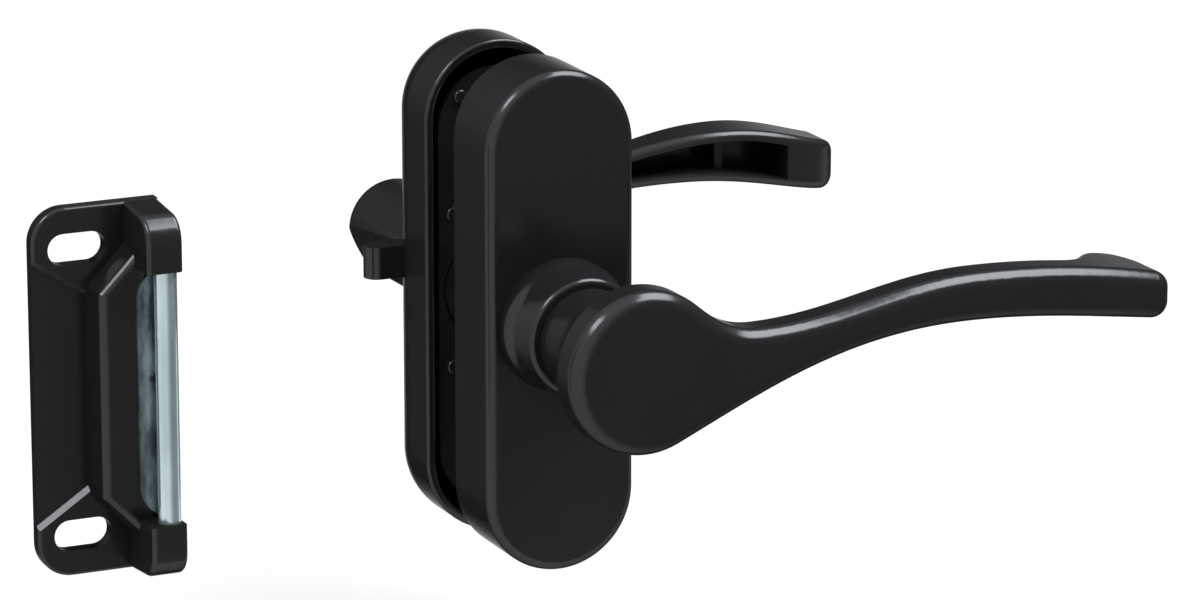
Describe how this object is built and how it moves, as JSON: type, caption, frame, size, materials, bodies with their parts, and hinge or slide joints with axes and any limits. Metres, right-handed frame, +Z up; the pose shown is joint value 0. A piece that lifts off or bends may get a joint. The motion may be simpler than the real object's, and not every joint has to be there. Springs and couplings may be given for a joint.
{
  "type": "lever latch",
  "caption": "Black lever latch set for a screen door: outside and inside levers on stadium plates with a sliding bolt, and a separate strike with a zinc-plated bar.",
  "frame": {"origin": "on the spindle axis at the outside face of the door, where the outside escutcheon rests", "axes": "+X along the levers, away from the bolt; +Y from outside to inside, along the spindle; +Z up"},
  "size_m": [0.1994, 0.114, 0.09],
  "materials": {
    "black_paint": "gloss",
    "zinc": "bright zinc plating",
    "steel": "satin"
  },
  "bodies": {
    "fixed": {"outside_escutcheon": "black_paint", "outside_washer": "steel", "return_spring": "steel", "inside_case": "black_paint", "case_cover": "black_paint", "bolt_spring": "steel", "bolt_keeper": "black_paint", "keeper_screw_upper": "steel", "keeper_screw_lower": "steel", "mounting_screw_upper": "black_paint", "mounting_screw_lower": "black_paint", "strike_base": "black_paint", "strike_bar": "zinc", "strike_plate": "zinc", "strike_rivet": "black_paint"},
    "levers": {"outside_lever": "black_paint", "outside_retaining_ring": "steel", "spindle": "steel", "spindle_pin": "steel", "inside_lever": "black_paint", "set_screw": "steel", "retractor_hub": "black_paint"},
    "bolt": {"latch_bolt": "black_paint"}
  },
  "joints": [
    {"name": "lever_turn", "type": "hinge", "parent": "fixed", "child": "levers", "pos_m": [0, 0, 0], "axis": [0, 1, 0], "range_deg": [0, 35], "stiffness_Nm_per_rad": 0.6, "springref_deg": -20.05},
    {"name": "bolt_slide", "type": "slide", "parent": "fixed", "child": "bolt", "axis": [1, 0, 0], "range_m": [0, 0.0054], "stiffness_N_per_m": 250, "springref_m": -0.006, "deforming": ["bolt_spring"]}
  ],
  "couplings": [
    {"joint": "bolt_slide", "follows": "lever_turn", "m_per_rad": 0.00883}
  ]
}
